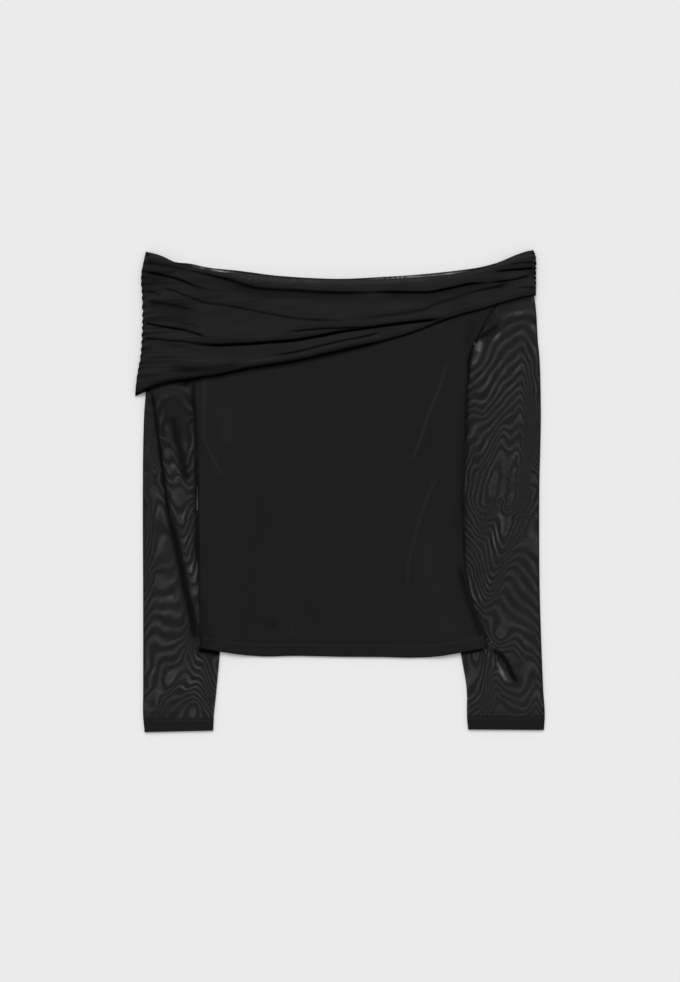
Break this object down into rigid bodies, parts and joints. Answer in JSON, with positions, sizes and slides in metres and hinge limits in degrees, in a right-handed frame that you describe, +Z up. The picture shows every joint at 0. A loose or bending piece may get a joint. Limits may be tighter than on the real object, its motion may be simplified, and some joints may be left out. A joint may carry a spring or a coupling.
{
  "type": "off-shoulder long-sleeved mesh top, laid flat",
  "caption": "Black mesh top laid flat and face up: plain body, long sheer sleeves and a wide gathered band folded round the shoulders.",
  "frame": {"origin": "on the surface that the garment lies on, at the middle of its outline", "axes": "+X to the viewer's right across the garment, +Y from the hem toward the neckline, +Z up from the surface"},
  "size_m": [0.532, 0.6261, 0.0126],
  "materials": {
    "lined_mesh": "matt black stretch mesh, two layers deep",
    "sheer_mesh": "matt black sheer stretch mesh",
    "label_tape": "plain grey woven tape"
  },
  "bodies": {
    "root": {"front_panel": "lined_mesh", "back_panel": "lined_mesh", "sleeve_left": "sheer_mesh", "sleeve_right": "sheer_mesh", "band_front": "lined_mesh", "band_back": "lined_mesh", "care_label": "label_tape"}
  },
  "joints": []
}
